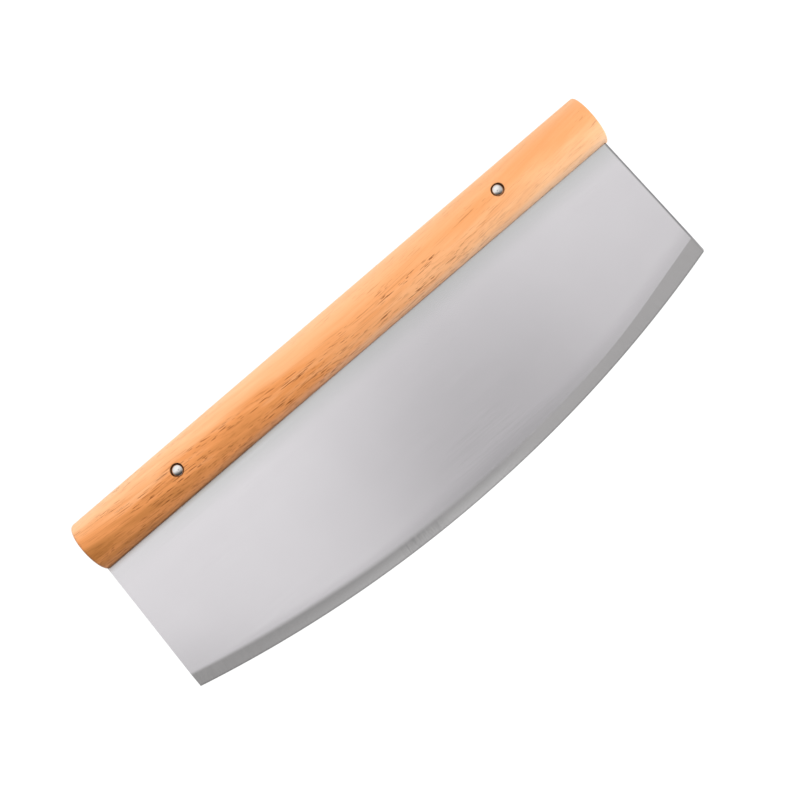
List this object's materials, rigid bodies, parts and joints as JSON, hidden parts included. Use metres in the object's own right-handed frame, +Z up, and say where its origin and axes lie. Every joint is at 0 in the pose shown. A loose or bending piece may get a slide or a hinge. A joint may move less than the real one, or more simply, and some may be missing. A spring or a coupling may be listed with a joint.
{
  "type": "pizza rocker knife",
  "caption": "Rocker knife for cutting pizza: a wide flat steel blade with a curved bevelled edge, set in a kerf along a round wooden handle and held by domed rivets.",
  "frame": {"origin": "centre of the knife's footprint, on the surface it lies on", "axes": "+X along the handle to the right as seen from above, +Y from the cutting edge towards the handle, +Z up out of the blade's front face"},
  "size_m": [0.3524, 0.1306, 0.0306],
  "materials": {
    "satin_steel": "satin rolled stainless plate with a ground bevel",
    "oiled_wood": "sanded and oiled light hardwood with short dark pores",
    "polished_steel": "polished rivet heads"
  },
  "bodies": {
    "root": {"blade": "satin_steel", "handle": "oiled_wood", "left_rivet_stud": "polished_steel", "left_rivet_sleeve": "polished_steel", "right_rivet_stud": "polished_steel", "right_rivet_sleeve": "polished_steel"}
  },
  "joints": []
}
